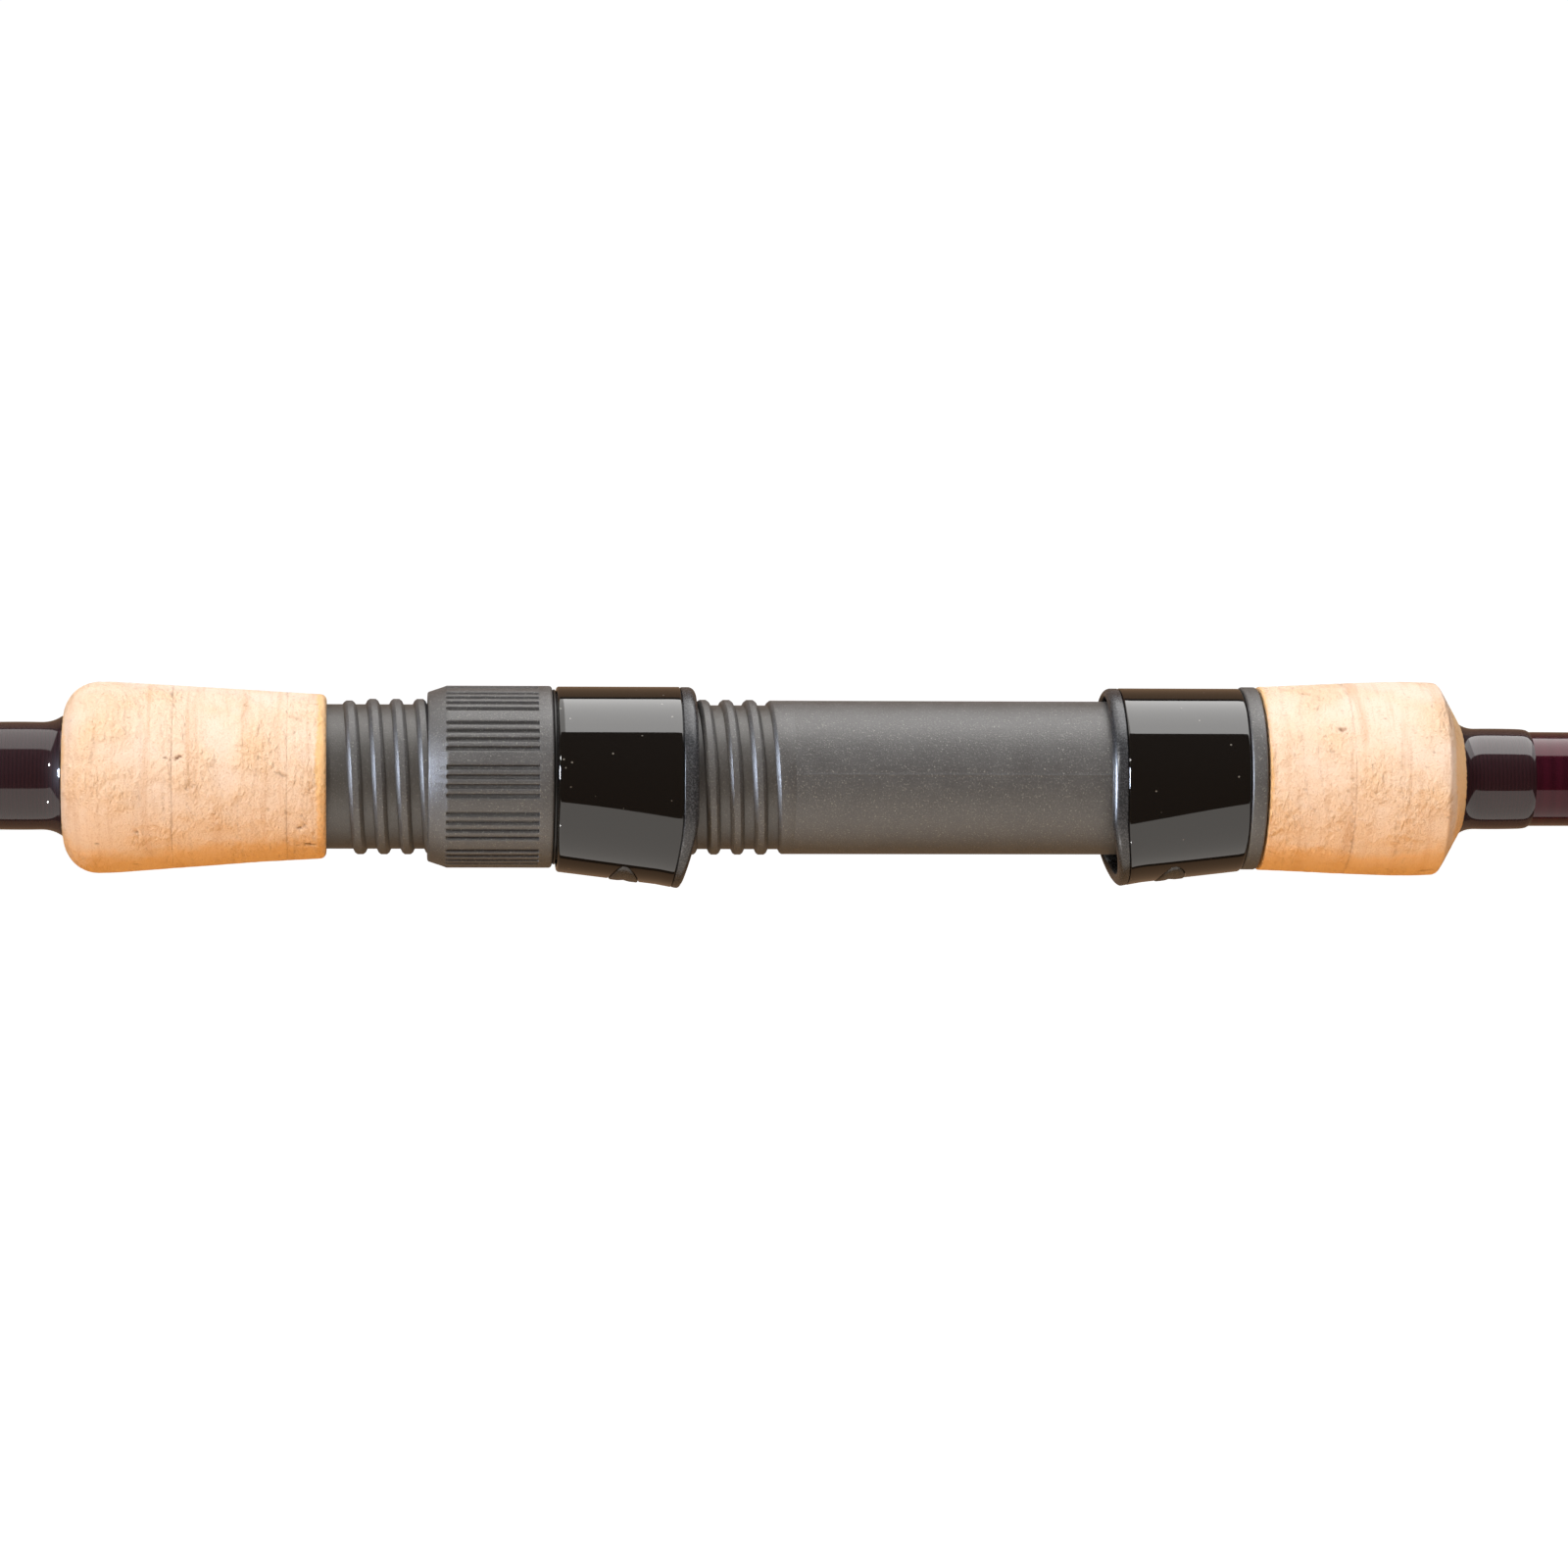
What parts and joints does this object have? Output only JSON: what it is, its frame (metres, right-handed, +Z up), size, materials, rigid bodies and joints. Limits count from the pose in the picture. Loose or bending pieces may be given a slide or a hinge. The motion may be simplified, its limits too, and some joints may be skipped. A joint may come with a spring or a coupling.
{
  "type": "spinning rod",
  "caption": "Spinning rod with a split cork handle, a screw-down reel seat with a sliding hood and lock nut, and a slender lacquered blank that carries line guides.",
  "frame": {"origin": "centre of the flat butt end face", "axes": "+X along the blank from butt to tip, +Z up, away from the reel and guides, which are on the -Z side"},
  "size_m": [1.8298, 0.0254, 0.0521],
  "materials": {
    "blank_lacquer": "deep maroon clear lacquer over carbon fibre, gloss",
    "winding_epoxy": "dark thread under thick clear epoxy",
    "cork": "sanded natural cork with pits",
    "seat_graphite": "moulded carbon-filled nylon, satin",
    "hood_gloss": "piano black, mirror gloss",
    "hood_liner": "moulded, satin blue-grey",
    "butt_rubber": "moulded, matte",
    "guide_steel": "polished stainless wire",
    "guide_ceramic": "polished dark ceramic",
    "arbor_foam": "rigid foam, cut",
    "washer_acetal": "smooth"
  },
  "bodies": {
    "rod": {"blank": "blank_lacquer", "butt_cap": "butt_rubber", "butt_grip_ring_1": "cork", "butt_grip_ring_2": "cork", "butt_grip_ring_3": "cork", "butt_grip_ring_4": "cork", "butt_grip_ring_5": "cork", "butt_grip_ring_6": "cork", "butt_grip_ring_7": "cork", "butt_grip_wrap": "winding_epoxy", "fixed_hood_liner": "hood_liner", "fixed_hood_shell": "hood_gloss", "fore_grip_ring_1": "cork", "fore_grip_ring_2": "cork", "fore_grip_wrap": "winding_epoxy", "guide_1_frame": "guide_steel", "guide_1_front_wrap": "winding_epoxy", "guide_1_rear_wrap": "winding_epoxy", "guide_1_ring": "guide_ceramic", "guide_2_frame": "guide_steel", "guide_2_front_wrap": "winding_epoxy", "guide_2_rear_wrap": "winding_epoxy", "guide_2_ring": "guide_ceramic", "guide_3_frame": "guide_steel", "guide_3_rear_wrap": "winding_epoxy", "guide_3_ring": "guide_ceramic", "guide_4_frame": "guide_steel", "guide_4_rear_wrap": "winding_epoxy", "guide_4_ring": "guide_ceramic", "guide_5_frame": "guide_steel", "guide_5_rear_wrap": "winding_epoxy", "guide_5_ring": "guide_ceramic", "guide_6_frame": "guide_steel", "guide_6_rear_wrap": "winding_epoxy", "guide_6_ring": "guide_ceramic", "hook_keeper": "guide_steel", "hook_keeper_front_wrap": "winding_epoxy", "hook_keeper_rear_wrap": "winding_epoxy", "rear_grip_ring_1": "cork", "rear_grip_ring_2": "cork", "rear_grip_ring_3": "cork", "rear_grip_wrap": "winding_epoxy", "reel_seat": "seat_graphite", "seat_arbor_1": "arbor_foam", "seat_arbor_2": "arbor_foam", "seat_arbor_3": "arbor_foam", "tip_top_frame": "guide_steel", "tip_top_ring": "guide_ceramic"},
    "sliding_hood": {"sliding_hood_shell": "hood_gloss", "sliding_hood_liner": "hood_liner", "slip_washer": "washer_acetal"},
    "lock_nut": {"lock_nut": "seat_graphite"}
  },
  "joints": [
    {"name": "hood_slide", "type": "slide", "parent": "rod", "child": "sliding_hood", "axis": [1, 0, 0], "range_m": [-0.0105, 0.0248]},
    {"name": "nut_spin", "type": "hinge", "parent": "sliding_hood", "child": "lock_nut", "pos_m": [0.2232, 0, 0], "axis": [1, 0, 0], "range_deg": [-1400, 3300]}
  ],
  "couplings": [
    {"joint": "hood_slide", "follows": "nut_spin", "m_per_rad": 0.00042335}
  ]
}
